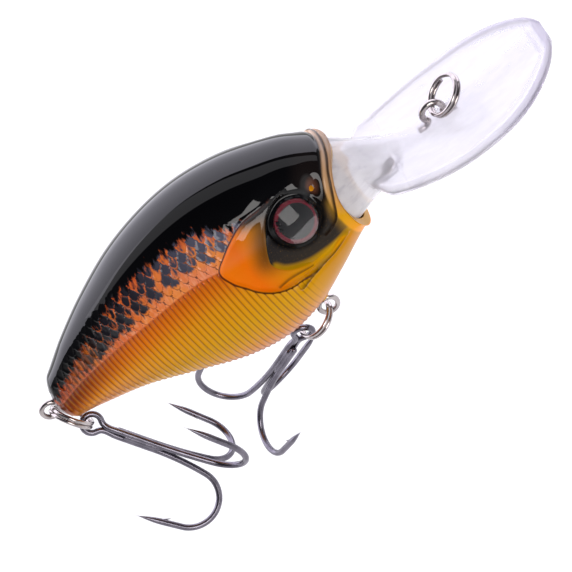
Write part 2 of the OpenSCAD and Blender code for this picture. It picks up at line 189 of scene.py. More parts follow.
def circles(u, v, sides):
    """Unit circles: cos(turn) times each u plus sin(turn) times each v."""
    turn = (np.arange(sides) * 2 * np.pi / sides)[None, :, None]
    return np.cos(turn) * u[:, None] + np.sin(turn) * v[:, None]


def swept(path, radius, side, sides=20):
    """Round wire: a circle at each point of the path, square to it."""
    path = np.asarray(path, float)
    along = unit(np.gradient(path, axis=0))
    side = np.broadcast_to(np.asarray(side, float), path.shape)
    u = unit(side - (side * along).sum(-1, keepdims=True) * along)
    v = np.cross(along, u)
    r = np.broadcast_to(np.asarray(radius, float), (len(path),))[:, None, None]
    return closed_tube(path[:, None] + r * circles(u, v, sides), path[:1], path[-1:])


def joined(parts):
    """Several (points, quads, triangles) put into one, with their point numbers moved along."""
    points, quads, triangles, first = [], [], [], 0
    for p, q, t in parts:
        points.append(p)
        quads.append(np.asarray(q).reshape(-1, 4) + first)
        triangles.append(np.asarray(t).reshape(-1, 3) + first)
        first += len(p)
    return np.vstack(points), np.vstack(quads), np.vstack(triangles)


# ---- Shader sockets ----
class Shade:
    """A socket that works out shader maths written as a Python expression."""

    def __init__(self, tree, socket):
        self.tree = tree
        self.socket = socket

    def node(self, kind, values=(), output=0, **settings):
        """Adds a node: its settings first, then each socket's value or link by name or number."""
        made = self.tree.nodes.new(kind)
        stops = settings.pop("stops", None)
        for key, value in settings.items():
            setattr(made, key, value)
        if stops:
            ramp = made.color_ramp
            ramp.elements[0].position, ramp.elements[0].color = stops[0]
            ramp.elements[1].position, ramp.elements[1].color = stops[-1]
            for place, colour in stops[1:-1]:
                ramp.elements.new(place).color = colour
        self.fill(made, dict(values))
        return Shade(self.tree, made.outputs[output])

    def fill(self, made, values):
        """Gives a node's sockets their numbers, colours or links."""
        for key, value in values.items():
            if isinstance(value, Shade):
                self.tree.links.new(value.socket, made.inputs[key])
            else:
                made.inputs[key].default_value = value

    def math(self, operation, *values, clamp=False):
        """One Math node."""
        return self.node("ShaderNodeMath", enumerate(values), operation=operation, use_clamp=clamp)

    def __add__(self, other):
        return self.math("ADD", self, other)

    def __mul__(self, other):
        return self.math("MULTIPLY", self, other)

    def __sub__(self, other):
        return self.math("SUBTRACT", self, other)

    def __rsub__(self, other):
        return self.math("SUBTRACT", other, self)

    def __truediv__(self, other):
        return self.math("DIVIDE", self, other)

    __radd__ = __add__
    __rmul__ = __mul__

    def step(self, low, high):
        """Smooth rise from 0 at low to 1 at high."""
        values = {"Value": self, "From Min": low, "From Max": high}
        return self.node("ShaderNodeMapRange", values, interpolation_type="SMOOTHSTEP")

    def fall(self, low, high):
        """Smooth fall from 1 at low to 0 at high."""
        values = {"Value": self, "From Min": low, "From Max": high, "To Min": 1.0, "To Max": 0.0}
        return self.node("ShaderNodeMapRange", values, interpolation_type="SMOOTHSTEP")

    def over(self, mask, colour):
        """This colour with another laid over it where the mask is 1."""
        values = {0: mask, 6: self, 7: colour}
        return self.node("ShaderNodeMix", values, output=2, data_type="RGBA")

    def ramp(self, *stops):
        """Colour ramp of this value through (place, colour) stops."""
        return self.node("ShaderNodeValToRGB", {0: self}, stops=stops)

    def noise(self, scale, detail):
        """Soft noise from 0 to 1 at these coordinates."""
        return self.node("ShaderNodeTexNoise", {"Vector": self, "Scale": scale, "Detail": detail})

    def field(self, name):
        """A value stored on the mesh, point by point."""
        return self.node("ShaderNodeAttribute", attribute_name=name, output=2)

    def stretched(self, x, y, z):
        """These coordinates scaled along each direction."""
        return self.node("ShaderNodeMapping", {"Vector": self, "Scale": (x, y, z)})

    def bumped(self, strength, height):
        """A normal bent by a height in metres."""
        return self.node("ShaderNodeBump", {"Strength": strength, "Distance": 1.0, "Height": height})


def new_material(name):
    """A material with one Principled shader, and a Shade to build its inputs from."""
    made = bpy.data.materials.new(name)
    made.use_nodes = True
    tree = made.node_tree
    shader = tree.nodes["Principled BSDF"]
    place = Shade(tree, tree.nodes.new("ShaderNodeTexCoord").outputs["Object"])
    return made, shader, place


# ---- Body skin ----
NOSE, TAIL, TAIL_ROUND = 70.5, 1.2, 2.4

# Heights of the body's outline and its half width, as [x, value]
TOP_LINE = [[0, 1.8], [4, 4.7], [10, 9.3], [18, 14.3], [27, 18.7], [36, 21.4],
            [44, 22.3], [52, 21.5], [59, 19.4], [65, 16.8], [71, 12.6]]
BELLY_LINE = [[0, -7.2], [4, -6.5], [10, -7.2], [18, -8.5], [27, -11.6], [36, -15],
              [44, -15.9], [52, -13.9], [59, -10], [65, -6.4], [71, -3.6]]
HALF_WIDTH = [[0, 3.2], [4, 3.9], [10, 5.5], [18, 8.1], [27, 11], [36, 12.9],
              [44, 13.7], [52, 13.3], [59, 11.9], [65, 10], [71, 7.2]]
WALL = 1.2

# Where the paint and the relief change, as [x, z] in side view
LATERAL = [[0, -1.5], [4, 0.6], [9.5, 3.4], [20.8, 8], [31, 11], [39, 12.4],
           [43.2, 12.2], [54, 11.5], [71, 11]]
BLACK_EDGE = [[0, 0.8], [4, 4], [9.5, 8], [16.2, 12.2], [23, 15.6], [30.5, 18.1],
              [36.5, 19.2], [43, 19.4], [50.5, 17.1], [56, 16], [64, 15], [71, 12.5]]
GILL_REAR = [[58.5, 16], [55.5, 16.1], [51.5, 16.3], [48.5, 15.5], [45.4, 13.9], [43.1, 12]]
GILL_LOW = [[43.8, 9.1], [45.1, 6.9], [46.5, 4.5], [48.6, 2.3],
            [51.4, 0.9], [55.5, 0.3], [60, 0.8], [64, 1.4]]
CHEEK_REAR = [[58.2, 15.6], [56.2, 15], [54.4, 13.8], [52.6, 11.4], [51.4, 9.2], [50.9, 7.2]]
CHEEK_LOW = [[52.2, 4.6], [54.2, 3.1], [56.6, 2.1], [59.5, 1.7], [63.5, 1.4]]
JAW_GROOVE = [[64, 1.2], [60.5, 0.4], [57.7, 0.3], [55, -0.1], [52.4, -0.9]]
CHEEK_GROOVE = [[56.2, 1.5], [54.2, 2.1], [51.8, 2.5], [49.6, 2.4]]
MOUTH_GROOVE = [[69.9, 14], [69.2, 13.3], [67.9, 12.2], [66.9, 10.6], [65.8, 8.4], [64.5, 5.9],
                [63, 5], [61.4, 4.7]]
SNOUT_END = [[72, 16], [72, -3]]

EYE = np.array([58.9, 10.75, 10.7])
EYE_OUT = unit([0.22, 0.89, 0.4])
SOCKET, SOCKET_SNAP, SOCKET_DEPTH = 4.12, 0.17, 1.5
EYE_PRINT = 4.2
NOSTRIL = np.array([64.6, 12.7])

RIB_PITCH = 1.04
SCALE_WIDE, SCALE_ROW = 1.95, 1.6
SKIN_ROWS, SKIN_COLS, COARSE = 449, 193, 8
FLANK_COL, NO_ROW = 75, -99.0
INNER_TAIL = 7.5


def rim_x(a):
    """Front rim: furthest forward at the top, furthest back at the sides."""
    return 66.3 + 4.2 * np.maximum(np.sin(a), 0) ** 2 + 1.6 * np.maximum(-np.sin(a), 0) ** 2


def slanted(x, a):
    """Station x pulled back, by the square of how far forward it is, to the slanted rim."""
    f = np.clip((x - 50) / (NOSE - 50), 0, 1)
    return x - (NOSE - rim_x(a)) * f * f


def skin(x, a, inset=0.0):
    """Rounded section at x: half width times cos^0.92, half height times sin, and an elliptic tail end."""
    f = np.clip((x - TAIL) / TAIL_ROUND, 0, 1)
    cap = np.sqrt(np.maximum(0.004, 1 - (1 - f) ** 2))
    high, low = curve(TOP_LINE, x), curve(BELLY_LINE, x)
    c = np.maximum(np.cos(a), 0)
    y = (curve(HALF_WIDTH, x) * cap - inset) * c**0.92
    z = (high + low) / 2 + ((high - low) / 2 * cap - inset) * np.sin(a)
    return np.stack(np.broadcast_arrays(x, y, z), -1)


def scales(u, v):
    """Shingled scales that hang towards the belly: mm inside the edge of the one on top, its row and column.

    Row k hangs from v = k rows. A scale's edge is half an ellipse: 0.53 of a width to each side, and
    1.25 rows long below it.
    """
    edge = np.full(u.shape, -9.0)
    row = np.full(u.shape, NO_ROW)
    column = np.zeros(u.shape)
    k0 = np.floor(v / SCALE_ROW)
    for up in (2, 1, 0):
        k = k0 + up
        shift = 0.5 * np.mod(k, 2)
        i = np.round(u / SCALE_WIDE - shift)
        across = (u / SCALE_WIDE - shift - i) / 0.53
        below = (k * SCALE_ROW - v) / (SCALE_ROW * 1.25)
        inside = (1 - np.sqrt(across**2 + np.maximum(below, 0) ** 2)) * SCALE_WIDE * 0.53
        take = (inside > 0) & (row == NO_ROW)
        edge = np.where(take, inside, edge)
        row = np.where(take, k, row)
        column = np.where(take, i, column)
    return edge, row, column


def skin_fields(p, a):
    """Distances in mm from each point of the skin to the lines that the paint and the relief follow."""
    x, z = p[..., 0], p[..., 2]
    drop = np.cumsum(np.linalg.norm(np.diff(p, axis=1, prepend=p[:, :1]), axis=-1), axis=1)

    def arc_above(line):
        """Length along the section from the line up to each point; the section's flank gives its x."""
        start = curve(line, x[:, FLANK_COL])
        return drop - np.array([np.interp(s, zr, dr) for s, zr, dr in zip(start, z, drop)])[:, None]

    gill = rounded_line(GILL_REAR + GILL_LOW + SNOUT_END[::-1])
    cheek = rounded_line(CHEEK_REAR + CHEEK_LOW + SNOUT_END[::-1])
    out = p - EYE
    axial = out @ EYE_OUT
    return {
        "above_line": arc_above(LATERAL),
        "above_black": arc_above(BLACK_EDGE),
        "from_crest": drop[:, -1:] - drop,
        "from_keel": drop,
        "gill_in": inside_distance(x, z, gill),
        "cheek_in": inside_distance(x, z, cheek),
        "jaw_line": line_distance(x, z, rounded_line(JAW_GROOVE)),
        "cheek_line": line_distance(x, z, rounded_line(CHEEK_GROOVE)),
        "cheek_low": line_distance(x, z, rounded_line([[51.2, 6.2], *CHEEK_LOW, [66, 1.2]])),
        "mouth_line": line_distance(x, z, rounded_line(MOUTH_GROOVE)),
        "to_rim": rim_x(a) - x,
        "eye_r": np.linalg.norm(out - axial[..., None] * EYE_OUT, axis=-1),
        "nostril": np.hypot(x - NOSTRIL[0], (z - NOSTRIL[1]) * 0.9),
    }


def skin_height(x, f):
    """Height of the relief in mm, as a sum of steps and bells of the distances to its lines.

    Scales, ribs, lateral line, gill cover, cheek plate, grooves, eye ring, nostril and rolled rim.
    """
    outside = smooth(0.15, -0.25, f["gill_in"]) * smooth(59, 52, x)
    band = smooth(0.1, 0.7, f["above_line"]) * smooth(0.6, -2.5, f["above_black"]) * outside
    edge, row, column = scales(x * 1.04, f["above_line"])
    spread = np.mod(np.sin(row * 12.99 + column * 78.23) * 437.5, 1.0)
    chosen = np.where(np.mod(row + column, 2) > 0.5, 1.0, 0.42)
    height = band * (0.13 * smooth(0, 0.55, edge) - 0.06)
    height -= band * 0.05 * bell(edge, 0.13)
    phase = np.mod(x / RIB_PITCH, 1.0) - 0.5
    reach = smooth(0.5, -0.4, f["above_line"]) * smooth(1.5, 9.0, f["from_keel"])
    throat = smooth(57, 50.5, x + 0.25 * np.maximum(0, -f["above_line"] - 14))
    ribs = reach * throat * outside
    height += ribs * (0.035 * np.cos(2 * np.pi * phase) - 0.11 * bell(0.5 - np.abs(phase), 0.11))
    streaks = smooth(26, 10, x) * smooth(-0.4, 0.5, f["above_line"]) * smooth(3, 8, f["from_crest"])
    height += 0.03 * streaks * np.cos(2 * np.pi * phase)
    height += 0.09 * (bell(f["above_line"] + 0.1, 0.35) * outside)
    height += 0.62 * smooth(-0.12, 0.42, f["gill_in"]) * smooth(61.5, 51, x)
    height -= 0.10 * bell(f["gill_in"] + 0.25, 0.25) * smooth(60, 55, x)
    height += 0.55 * smooth(-0.1, 0.42, f["cheek_in"]) * smooth(63.5, 53, x)
    height -= 0.10 * bell(f["cheek_in"] + 0.22, 0.22) * smooth(62, 57, x)
    height -= 0.42 * bell(f["jaw_line"], 0.42)
    height += 0.18 * bell(f["jaw_line"] - 0.95, 0.5)
    height -= 0.30 * bell(f["cheek_line"], 0.38)
    height -= 0.40 * bell(f["mouth_line"], 0.34)
    height += 0.16 * bell(f["mouth_line"] - 0.8, 0.45)
    height += 0.35 * smooth(9.5, 5.0, f["eye_r"])
    height += 0.42 * bell(f["eye_r"] - 4.75, 0.55)
    height += 0.95 * bell(f["nostril"], 1.5)
    roll = np.clip(1 - f["to_rim"] / 0.6, 0, 1)
    f["scale_edge"] = edge
    f["scale_dark"] = np.where(row == NO_ROW, 0, 0.55 + 0.45 * spread) * chosen
    f["rib_cut"] = np.abs(0.5 - np.abs(phase)) * RIB_PITCH
    f["rib_on"] = ribs
    f["streak_on"] = streaks
    return height - 0.55 * (1 - np.sqrt(1 - roll * roll * 0.999))


def nub_points(sides=28, rows=14):
    """Half of a tapered round nub that the belly wire leaves from, with a rounded lower edge."""
    turn = np.linspace(0, np.pi, sides)
    down = np.linspace(0, 1, rows)[:, None]
    radius = 2.2 - 0.7 * down
    radius = np.where(down > 0.86, radius - 0.45 * ((down - 0.86) / 0.14) ** 2, radius)
    z = -12.6 - 4.4 * down
    rings = np.stack(np.broadcast_arrays(51.2 + radius * np.cos(turn), radius * np.sin(turn), z), -1)
    return closed_tube(rings, rings[0].mean(0), rings[-1].mean(0))


def half_body(name, side, stands_for):
    """One body half: relief skin, plain inner wall, and strips that close it at parting plane, rim and tail.

    The skin moves out along its own normal by the relief's height. The inner wall is the skin inset by the
    wall on a grid eight times coarser, and each of its edge cells meets eight of the skin's.
    """
    bend = np.linspace(0, np.pi / 2, 17)[:-1]
    along = np.concatenate([TAIL + TAIL_ROUND * (1 - np.cos(bend)),
                            np.linspace(TAIL + TAIL_ROUND, NOSE, SKIN_ROWS - len(bend))])
    angle = np.radians(np.linspace(-90, 90, SKIN_COLS))[None, :]
    base = skin(slanted(along[:, None], angle), angle)
    fields = skin_fields(base, angle)

    # The ring of points nearest the socket's edge is moved onto it, and the well inside goes down
    ring = fields["eye_r"]
    near = np.abs(ring - SOCKET) < SOCKET_SNAP
    out = base - EYE
    radial = unit(out - (out @ EYE_OUT)[..., None] * EYE_OUT)
    base = base + np.where(near, SOCKET - ring, 0)[..., None] * radial
    fields["eye_r"] = np.where(near, SOCKET, ring)
    normal = unit(np.cross(np.gradient(base, axis=0), np.gradient(base, axis=1)))
    height = skin_height(base[..., 0], fields)
    outer = base + height[..., None] * normal
    well = fields["eye_r"] < SOCKET - 0.05
    outer = outer - np.where(well, SOCKET_DEPTH, 0)[..., None] * EYE_OUT
    outer[:, [0, -1], 1] = 0

    back = np.linspace(0, 1, (SKIN_ROWS - 1) // COARSE + 1)[:, None]
    wide = angle[:, ::COARSE]
    inner_x = INNER_TAIL + (slanted(NOSE, wide) - INNER_TAIL) * back
    inner = skin(inner_x, wide, WALL + 1.6 * smooth(0.93, 0.75, back) * smooth(0.5, 0.6, back))
    in_rows, in_cols = inner.shape[:2]
    first = SKIN_ROWS * SKIN_COLS
    start = first + in_rows * in_cols
    nub, nub_quads, nub_ends = nub_points()
    points = np.vstack([outer.reshape(-1, 3), inner.reshape(-1, 3), nub])
    quads = np.vstack([strip_quads(SKIN_ROWS, SKIN_COLS), strip_quads(in_rows, in_cols, first)[:, ::-1],
                       nub_quads + start])

    # Fans between the skin's edge and the inner wall's
    grid = np.arange(first).reshape(SKIN_ROWS, SKIN_COLS)
    core = np.arange(first, start).reshape(in_rows, in_cols)
    edge, inner_edge = (np.concatenate([g[0, :-1], g[:-1, -1], g[-1, :0:-1], g[:0:-1, 0]])
                        for g in (grid, core))
    nearest = inner_edge[np.arange(len(edge)) // COARSE]
    last = edge[(np.arange(len(inner_edge)) * COARSE + COARSE) % len(edge)]
    triangles = np.vstack([
        np.stack([edge, nearest, np.roll(edge, -1)], -1),
        np.stack([last, inner_edge, np.roll(inner_edge, -1)], -1),
        nub_ends + start,
    ])
    points = points * [1, side, 1]
    if side < 0:
        quads, triangles = quads[:, ::-1], triangles[:, ::-1]

    # Inside, and on the nub, the paint is that of the belly far from every line
    filler = {"gill_in": -9, "cheek_in": -9, "above_line": -16, "above_black": -16, "from_crest": 30,
              "jaw_line": 9, "cheek_line": 9, "mouth_line": 9, "to_rim": 15, "eye_r": 20,
              "cheek_low": 9, "nostril": 9, "scale_edge": 1, "rib_cut": 1}
    full = {}
    for key, value in fields.items():
        full[key] = np.concatenate([value.ravel(), np.full(len(points) - first, filler.get(key, 0.0))])
    return piece(name, points, quads, triangles, "lure", stands_for, "painted_body", PAINT, full,
                 crease=50)


# ---- Paint ----
def painted_body():
    """Gloss paint: black back over copper scales and gold ribs, an orange gill cover and a grey cheek."""
    made, shader, place = new_material("painted body")
    field = place.field
    x = place.node("ShaderNodeSeparateXYZ", {0: place}) * 1000 + float(LINE_TIE[0])
    line, black, crest = field("above_line"), field("above_black"), field("from_crest")
    gill, cheek, nostril = field("gill_in"), field("cheek_in"), field("nostril")
    scale, rib, rib_on = field("scale_edge"), field("rib_cut"), field("rib_on")
    under = 0 - line
    below = under.step(-0.5, 1.0)
    rear, back_half = x.fall(4, 25), x.fall(10, 42)
    wisps = place.stretched(1.0, 0.35, 0.35).noise(1500, 3)
    fleck = place.noise(5200, 2)
    cloud = place.noise(160, 2)

    # Gold flank, paler towards the keel
    body = (under / 26).ramp(
        (0.0, srgb(204, 88, 4)), (0.10, srgb(210, 106, 2)), (0.24, srgb(210, 134, 0)),
        (0.50, srgb(208, 150, 0)), (0.68, srgb(208, 146, 10)), (0.84, srgb(208, 132, 44)),
        (1.0, srgb(200, 126, 86)),
    )
    # Painted shade in the rib grooves, weaker towards the keel
    rib_groove_shade = under.ramp((0.0, (0.95, 0.95, 0.95, 1)), (1.0, (0.6, 0.6, 0.6, 1)))

    # Copper band with dark scales, and the black back's ragged edge
    on_band = line.step(-0.15, 0.35) * gill.fall(-0.2, 0.05)
    copper = x.fall(22, 46).ramp((0.0, srgb(238, 136, 88)), (1.0, srgb(230, 110, 44)))
    copper = copper.over(wisps.step(0.45, 0.7) * 0.6, srgb(252, 172, 130))
    copper = copper.over(cloud.step(0.42, 0.66) * 0.5, srgb(246, 150, 40))
    copper = copper.over(scale.fall(0.04, 0.2) * line.fall(4, 7) * 0.85, srgb(72, 22, 12))
    blob = scale.step(-0.05, 0.26) * field("scale_dark") * (line + back_half * 1.4).step(0.9, 4.2)
    spots = (blob + (wisps - 0.5) * 0.7 + back_half * 0.12).step(0.24, 0.42)
    slate = (x * 0.025 - 0.3).ramp(
        (0.0, srgb(10, 8, 12)), (0.4, srgb(38, 36, 44)), (1.0, srgb(104, 104, 122)))
    jag = (wisps - 0.5) * 5.0
    flame = (black + jag).step(-4.2, -1.0) * gill.fall(-0.1, 0.1)
    dark = (black + jag * 1.15 + rear * 0.3 + back_half * 1.6).step(-1.5, 0.1)
    streak = field("streak_on") * rib.fall(0.16, 0.34)

    # Gill cover, jaw, cheek and front rim
    plate = x.node("ShaderNodeMapRange", {"Value": x, "From Min": 42.0, "From Max": 60.0}).ramp(
        (0.0, srgb(246, 128, 8)), (0.3, srgb(238, 112, 2)),
        (0.62, srgb(206, 134, 6)), (1.0, srgb(196, 146, 2)))
    # Painted shade: browner on the upper gill cover towards the raised cheek plate's edge
    plate = plate.over(cheek.step(-4.2, -0.4) * line.step(-9, -2) * 0.85, srgb(84, 52, 18))
    plate = plate.over(black.step(-3.2, -0.6) * x.step(47, 52), srgb(30, 20, 18))
    # Painted shadow: dark line just outside the gill cover's raised rear edge
    gill_step_shadow = gill.math("ABSOLUTE", gill + 0.12).fall(0.05, 0.22)
    jaw = (line * -0.05).ramp(
        (0.0, srgb(180, 134, 8)), (0.4, srgb(190, 138, 2)),
        (0.62, srgb(218, 128, 6)), (1.0, srgb(226, 124, 30)))
    grey = (line * 0.1 + 0.8).ramp((0.0, srgb(50, 44, 38)), (1.0, srgb(32, 32, 37)))
    rim = (crest / 26).ramp(
        (0.0, srgb(176, 150, 130)), (0.35, srgb(216, 168, 120)),
        (0.6, srgb(220, 160, 20)), (1.0, srgb(250, 156, 50)))

    for mask, colour in (
        (rear * under.fall(1.0, 6.5) * 0.9, srgb(104, 30, 6)),
        (rear * under.step(4.5, 8) * 0.75, srgb(206, 128, 92)),
        (x.step(50, 60) * under.step(3, 6) * 0.7, srgb(190, 124, 2)),
        # Painted highlight: lighter gold on the rib crowns of the upper flank
        (rib.step(0.25, 0.6) * rib_on * under.fall(6, 15) * 0.22, srgb(244, 190, 60)),
        # Painted shade: dark line in each rib groove
        (rib.fall(0.05, 0.2) * rib_on * rib_groove_shade * 0.9, srgb(96, 42, 4)),
        (on_band, copper),
        (rear * on_band * 0.55, srgb(120, 34, 12)),
        (flame * 0.6 * on_band, srgb(186, 56, 14)),
        (spots * on_band * x.step(5, 17), slate),
        (streak * line.step(-1.5, 1.5) * 0.85, srgb(8, 6, 6)),
        (dark * gill.fall(0.0, 0.3), srgb(3, 3, 4)),
        (gill.step(-0.04, 0.10) * x.fall(60, 66), plate),
        (gill_step_shadow * x.fall(54, 60) * 0.9, srgb(58, 16, 8)),
        (x.step(62.5, 65.5) * line.fall(-4, -1.5), jaw),
        (cheek.step(-0.05, 0.1), srgb(186, 138, 4)),
        (cheek.step(-0.05, 0.15) * field("cheek_low").step(0.0, 1.3), grey),
        (x.step(62.8, 66.6) * line.fall(0, 6) * 0.9, srgb(188, 140, 40)),
        (crest.fall(8.5, 12.5) * x.step(46, 56), srgb(3, 3, 4)),
        (nostril.fall(2.2, 4.6), srgb(20, 14, 12)),
        # Painted highlight: lighter brown on the peak of the dark nostril bump
        (nostril.fall(0.5, 1.5) * 0.7, srgb(110, 66, 48)),
        (field("to_rim").fall(1.2, 1.7), rim),
        # Painted shade: dark lines along the mouth, jaw and cheek grooves of the relief
        (field("mouth_line").fall(0.1, 0.42) * 0.92, srgb(34, 22, 12)),
        (field("jaw_line").fall(0.05, 0.55) * x.fall(61, 64.5) * 0.75, srgb(70, 56, 10)),
        (field("cheek_line").fall(0.05, 0.5) * 0.7, srgb(84, 56, 10)),
        (field("eye_r").fall(5.1, 6.3), srgb(8, 8, 10)),
        (fleck.step(0.6, 0.75) * below * 0.08, srgb(255, 190, 60)),
    ):
        body = body.over(mask, colour)
    metal = below * gill.fall(-0.3, 0.1) * 0.55
    fine = place.noise(2600, 2) * 0.00002
    place.fill(shader, {
        "Base Color": body,
        "Metallic": metal,
        "Roughness": 0.42 - metal * 0.25,
        "Normal": place.bumped(0.25, fine),
        "Coat Weight": line.step(-1.5, 0.6) * 0.86 + 0.14,
        "Coat Roughness": 0.03,
        "Coat IOR": 1.4,
        "Specular IOR Level": 0.0,
    })
    return made


def clear_plastic(name, tint, ior):
    """Clear moulded plastic with faint flow marks."""
    made, shader, place = new_material(name)
    marks = place.stretched(1, 3, 1).noise(110, 2) * 0.0002
    place.fill(shader, {
        "Base Color": tint,
        "Roughness": 0.0,
        "IOR": ior,
        "Transmission Weight": 1.0,
        "Normal": place.bumped(0.12, marks),
    })
    return made


def cloudy_plastic(name, tint, ior):
    """Clear plastic mixed with pale lavender plastic by the 'cloud' field; the 'shade' field paints shade on
    the pale part, making it darker.
    """
    made, glass, place = new_material(name)
    tree = place.tree
    cloud, shade = place.field("cloud"), place.field("shade")
    marks = place.stretched(1, 2.5, 1).noise(240, 3)
    bump = place.bumped(0.1, marks * 0.0001)
    place.fill(glass, {
        "Base Color": tint,
        "Roughness": 0.02,
        "IOR": ior,
        "Transmission Weight": 1.0,
        "Normal": bump,
    })
    # Painted refraction: darker lavender streaks, mostly in the cloudy root, stand in for the dark inside
    # seen through the clear plastic
    streaks = place.stretched(0.25, 1.4, 1.4).noise(520, 3)
    # Painted shade: the 'shade' field darkens the pale lavender
    pale_colour = shade.ramp((0.0, srgb(254, 252, 255)), (1.0, srgb(200, 194, 212)))
    pale_colour = pale_colour.over(streaks.step(0.45, 0.75) * (cloud - 0.25) * 1.4, srgb(196, 190, 206))
    pale = place.node("ShaderNodeBsdfPrincipled")
    place.fill(pale.socket.node, {
        "Base Color": pale_colour,
        "Roughness": 0.25,
        "Specular IOR Level": 0.3,
        "Coat Weight": 0.6,
        "Coat Roughness": 0.03,
        "Normal": bump,
    })
    share = cloud + (marks - 0.5) * 0.12
    mixed = place.node("ShaderNodeMixShader", {0: share, 1: Shade(tree, glass.outputs[0]), 2: pale})
    tree.links.new(mixed.socket, tree.nodes["Material Output"].inputs["Surface"])
    return made


def plated(name, dark, bright, roughness):
    """Plated wire: two close shades that drift along it, fine draw lines and slight unevenness."""
    made, shader, place = new_material(name)
    drift = place.noise(420, 3)
    draw = place.noise(4200, 2)
    place.fill(shader, {
        "Base Color": drift.ramp((0.3, dark), (0.7, bright)),
        "Metallic": 1.0,
        "Roughness": drift * 0.08 + roughness,
        "Normal": place.bumped(0.3, draw * 0.00001 + drift * 0.00004),
    })
    return made


def printed_eye():
    """Printed foil: dark pupil, crimson ring and a black border, by distance from the eye's axis."""
    made, shader, place = new_material("printed eye")
    grain = place.noise(1800, 2)
    face = (place.field("eye_r") / EYE_PRINT).ramp(
        (0.0, srgb(10, 10, 13)), (0.72, srgb(8, 8, 11)), (0.745, srgb(10, 2, 6)),
        (0.775, srgb(132, 6, 38)), (0.88, srgb(112, 4, 28)), (0.93, srgb(36, 4, 10)),
        (1.0, srgb(6, 6, 8)),
    )
    face = face.over(grain.step(0.5, 0.75) * 0.05, srgb(110, 60, 80))
    place.fill(shader, {
        "Base Color": face,
        "Roughness": 0.34 + grain * 0.06,
        "Specular IOR Level": 0.1,
    })
    return made


PAINT = painted_body()
CLEAR_LIP = cloudy_plastic("clear lip", srgb(246, 244, 252), 1.25)
LENS = clear_plastic("eye lens", srgb(250, 250, 252), 1.36)
EYE_FOIL = printed_eye()
NICKEL = plated("bright nickel", srgb(158, 150, 150), srgb(198, 190, 188), 0.1)
BLACK_NICKEL = plated("black nickel", srgb(100, 96, 106), srgb(128, 124, 134), 0.22)
STEEL = plated("steel ball", srgb(170, 172, 176), srgb(206, 208, 212), 0.12)

half_body("right_body_skin", RIGHT, ["body_shell_right"])
half_body("left_body_skin", LEFT, ["body_shell_left"])


# ---- Eyes ----
def turned(profile, centre, axis, ahead, steps=72):
    """Solid of revolution: each [radius, height] of the profile carried round the axis."""
    profile = np.asarray(profile, float)
    w = unit(axis)
    u = unit(np.asarray(ahead, float) - (np.asarray(ahead, float) @ w) * w)
    v = np.cross(w, u)
    body = profile[1:-1]
    rings = centre + body[:, :1, None] * circles(u[None], v[None], steps) + body[:, 1:, None] * w
    return closed_tube(rings, centre + profile[0, 1] * w, centre + profile[-1, 1] * w)


def lens_profile(radius=3.95, low=-0.4, high=0.1, dome=0.75):
    """Flat under side, short wall and a dome: height = high + dome (1 - (r / radius)^2)."""
    r = np.concatenate([np.linspace(0, radius, 14)[:-1], [radius, radius]])
    wall = np.column_stack([r, np.concatenate([np.full(14, low), [high - 0.05]])])
    t = np.linspace(0.985, 0, 22)
    return np.vstack([wall, np.column_stack([radius * t, high + dome * (1 - t * t)])])


def disc_profile(radius=4.0, low=-0.85, high=-0.45):
    """Flat printed disc: out along its under side and back along its face."""
    r = np.linspace(0, radius, 20)
    return np.column_stack([np.concatenate([r, r[::-1]]), np.repeat([low, high], 20)])


for word, side in (("right", RIGHT), ("left", LEFT)):
    flip = np.array([1, side, 1])
    for part, profile, material, slot in (
        ("lens", lens_profile(), LENS, "clear_lens"),
        ("disc", disc_profile(), EYE_FOIL, "eye_foil"),
    ):
        points, quads, ends = turned(profile, EYE, EYE_OUT, [1, 0, 0])
        off = points - EYE
        radius = np.linalg.norm(off - (off @ EYE_OUT)[:, None] * EYE_OUT, axis=-1)
        if side < 0:
            quads, ends = quads[:, ::-1], ends[:, ::-1]
        piece(f"{word}_eye_{part}_fine", points * flip, quads, ends, "lure", [f"{word}_eye_{part}"],
              slot, material, {"eye_r": radius}, crease=40)


# ---- Clear lip ----
# Half width of the blade, and half width, half thickness and middle height of the root, as [x, value]
BLADE_HALF = [[66, 2], [72, 6.4], [74.5, 10.3], [77, 11.5], [81, 12.8], [87, 13.95],
              [93, 14.1], [98, 13.6], [102, 12.5], [105.5, 10.7], [108.2, 8.6], [110.2, 6.3],
              [111.4, 4.1], [112, 2.1], [112.2, 0.7]]
ROOT_HALF = [[56, 8.3], [62, 8.6], [65, 8.45], [70.5, 6.4], [72.5, 6.1], [76, 5.6], [82, 3.5], [90, 2.5]]
ROOT_HIGH = [[56, 9.4], [62, 10.2], [65, 10], [70.5, 7], [72.5, 5.4], [75, 3.4],
             [78, 1.6], [82, 0.2], [90, 0]]
ROOT_MIDDLE = [[56, 5], [65, 5.4], [70.5, 4.4], [74, 3.2], [78, 2.6]]
ROOT_BACK, BLADE_BACK, BLADE_ROUND, LIP_TIP = 57.1, 70.0, 106.0, 112.19


def lip_mid(x):
    """Middle height: the root's table behind x = 78, then 2.5 + 0.05 (x - 92) + 0.0045 (x - 92)^2."""
    blade = 2.5 + 0.05 * (x - 92) + 0.0045 * (x - 92) ** 2
    return np.where(x < 78, curve(ROOT_MIDDLE, x), blade)


def lip_half(x):
    """Half width: the root's, or the blade's where that is wider."""
    root = curve(ROOT_HALF, x)
    return np.where(x < 72, root, np.maximum(root, curve(BLADE_HALF, x)))


